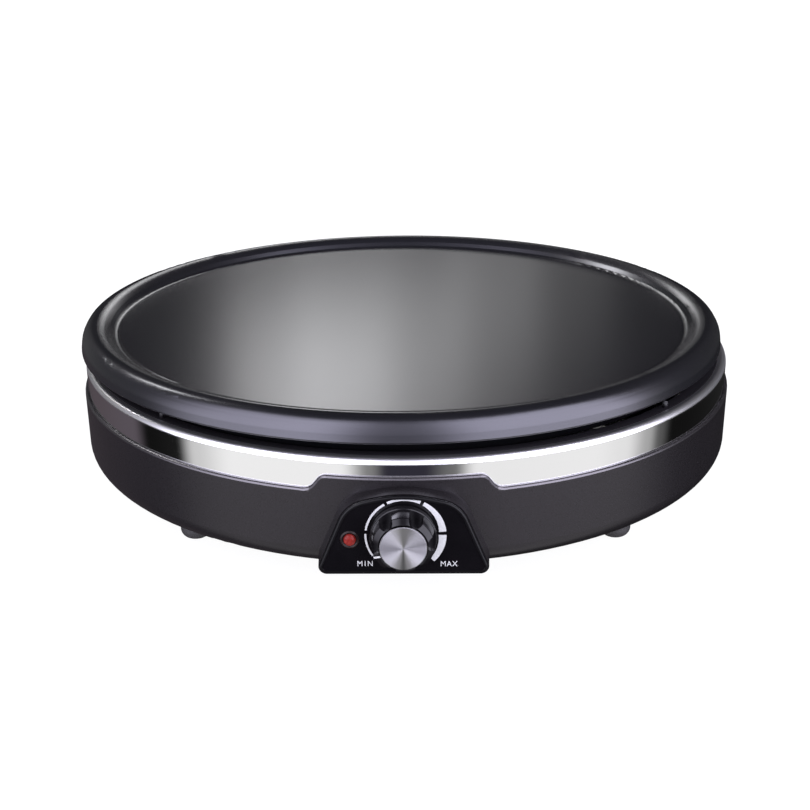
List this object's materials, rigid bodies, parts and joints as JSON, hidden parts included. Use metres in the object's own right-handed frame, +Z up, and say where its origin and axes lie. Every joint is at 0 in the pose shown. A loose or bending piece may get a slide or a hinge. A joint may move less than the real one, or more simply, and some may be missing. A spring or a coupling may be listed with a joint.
{
  "type": "electric crepe maker",
  "caption": "Round electric crepe maker: rimmed non-stick plate over a low black body with a polished steel band, front thermostat dial and indicator lamp.",
  "frame": {"origin": "on the surface the feet stand on, under the middle of the cooking plate", "axes": "+Z up, -Y to the front where the dial is, +Y to the rear where the cord outlet is, +X to the right seen from the front"},
  "size_m": [0.33, 0.3676, 0.0798],
  "materials": {
    "shell_plastic": "fine matt",
    "polished_steel": "mirror polished",
    "nonstick": "satin non-stick coating",
    "gloss_black": "gloss",
    "brushed_alu": "spun",
    "red_lens": "translucent red",
    "grey_plastic": "satin",
    "neon_glass": "clear",
    "rubber_black": "matt",
    "plated_steel": "zinc plated",
    "element_steel": "heat-tinted",
    "ceramic": "unglazed steatite",
    "brass": "plain",
    "bimetal": "rolled",
    "phenolic": "moulded",
    "wire_brown": "silicone sleeve",
    "wire_blue": "silicone sleeve",
    "wire_earth": "silicone sleeve",
    "wire_white": "silicone sleeve"
  },
  "bodies": {
    "base": {"body_shell": "shell_plastic", "steel_ring": "polished_steel", "cooking_plate": "nonstick", "bottom_cover": "plated_steel", "control_panel": "gloss_black", "lamp_bezel": "grey_plastic", "lamp_lens": "red_lens", "lamp_holder": "grey_plastic", "neon_lamp": "neon_glass", "feet": "rubber_black", "cover_screws": "plated_steel", "panel_screws": "plated_steel", "plate_screws": "plated_steel", "plate_spacers": "ceramic", "heating_element": "element_steel", "element_seals": "ceramic", "element_terminals": "plated_steel", "element_straps": "plated_steel", "strap_screws": "plated_steel", "heat_shield": "plated_steel", "shield_screws": "plated_steel", "earth_screw": "brass", "earth_lug": "brass", "thermostat_bracket": "plated_steel", "thermostat_bush": "brass", "thermostat_nut": "brass", "bracket_screw": "plated_steel", "ceramic_guide": "ceramic", "ceramic_spacers": "ceramic", "moving_blade": "brass", "fixed_blade": "brass", "contact_points": "plated_steel", "stack_rivet": "plated_steel", "bimetal_blade": "bimetal", "thermal_fuse": "plated_steel", "fuse_clip": "plated_steel", "fuse_screw": "plated_steel", "cord_gland": "rubber_black", "gland_nut": "grey_plastic", "terminal_block": "phenolic", "terminal_screws": "brass", "live_wire": "wire_brown", "switched_wire": "wire_brown", "neutral_wire": "wire_blue", "earth_wire": "wire_earth", "lamp_lead": "wire_white"},
    "dial": {"knob": "gloss_black", "knob_cap": "brushed_alu", "spindle": "brass"},
    "adjuster": {"adjusting_pin": "ceramic"}
  },
  "joints": [
    {"name": "dial_turn", "type": "hinge", "parent": "base", "child": "dial", "pos_m": [0, -0.1733, 0.0342], "axis": [0, 1, 0], "range_deg": [0, 250]},
    {"name": "adjuster_slide", "type": "slide", "parent": "base", "child": "adjuster", "axis": [0, 1, 0], "range_m": [0, 0.0005]}
  ],
  "couplings": [
    {"joint": "adjuster_slide", "follows": "dial_turn", "m_per_rad": 0.0001114}
  ]
}
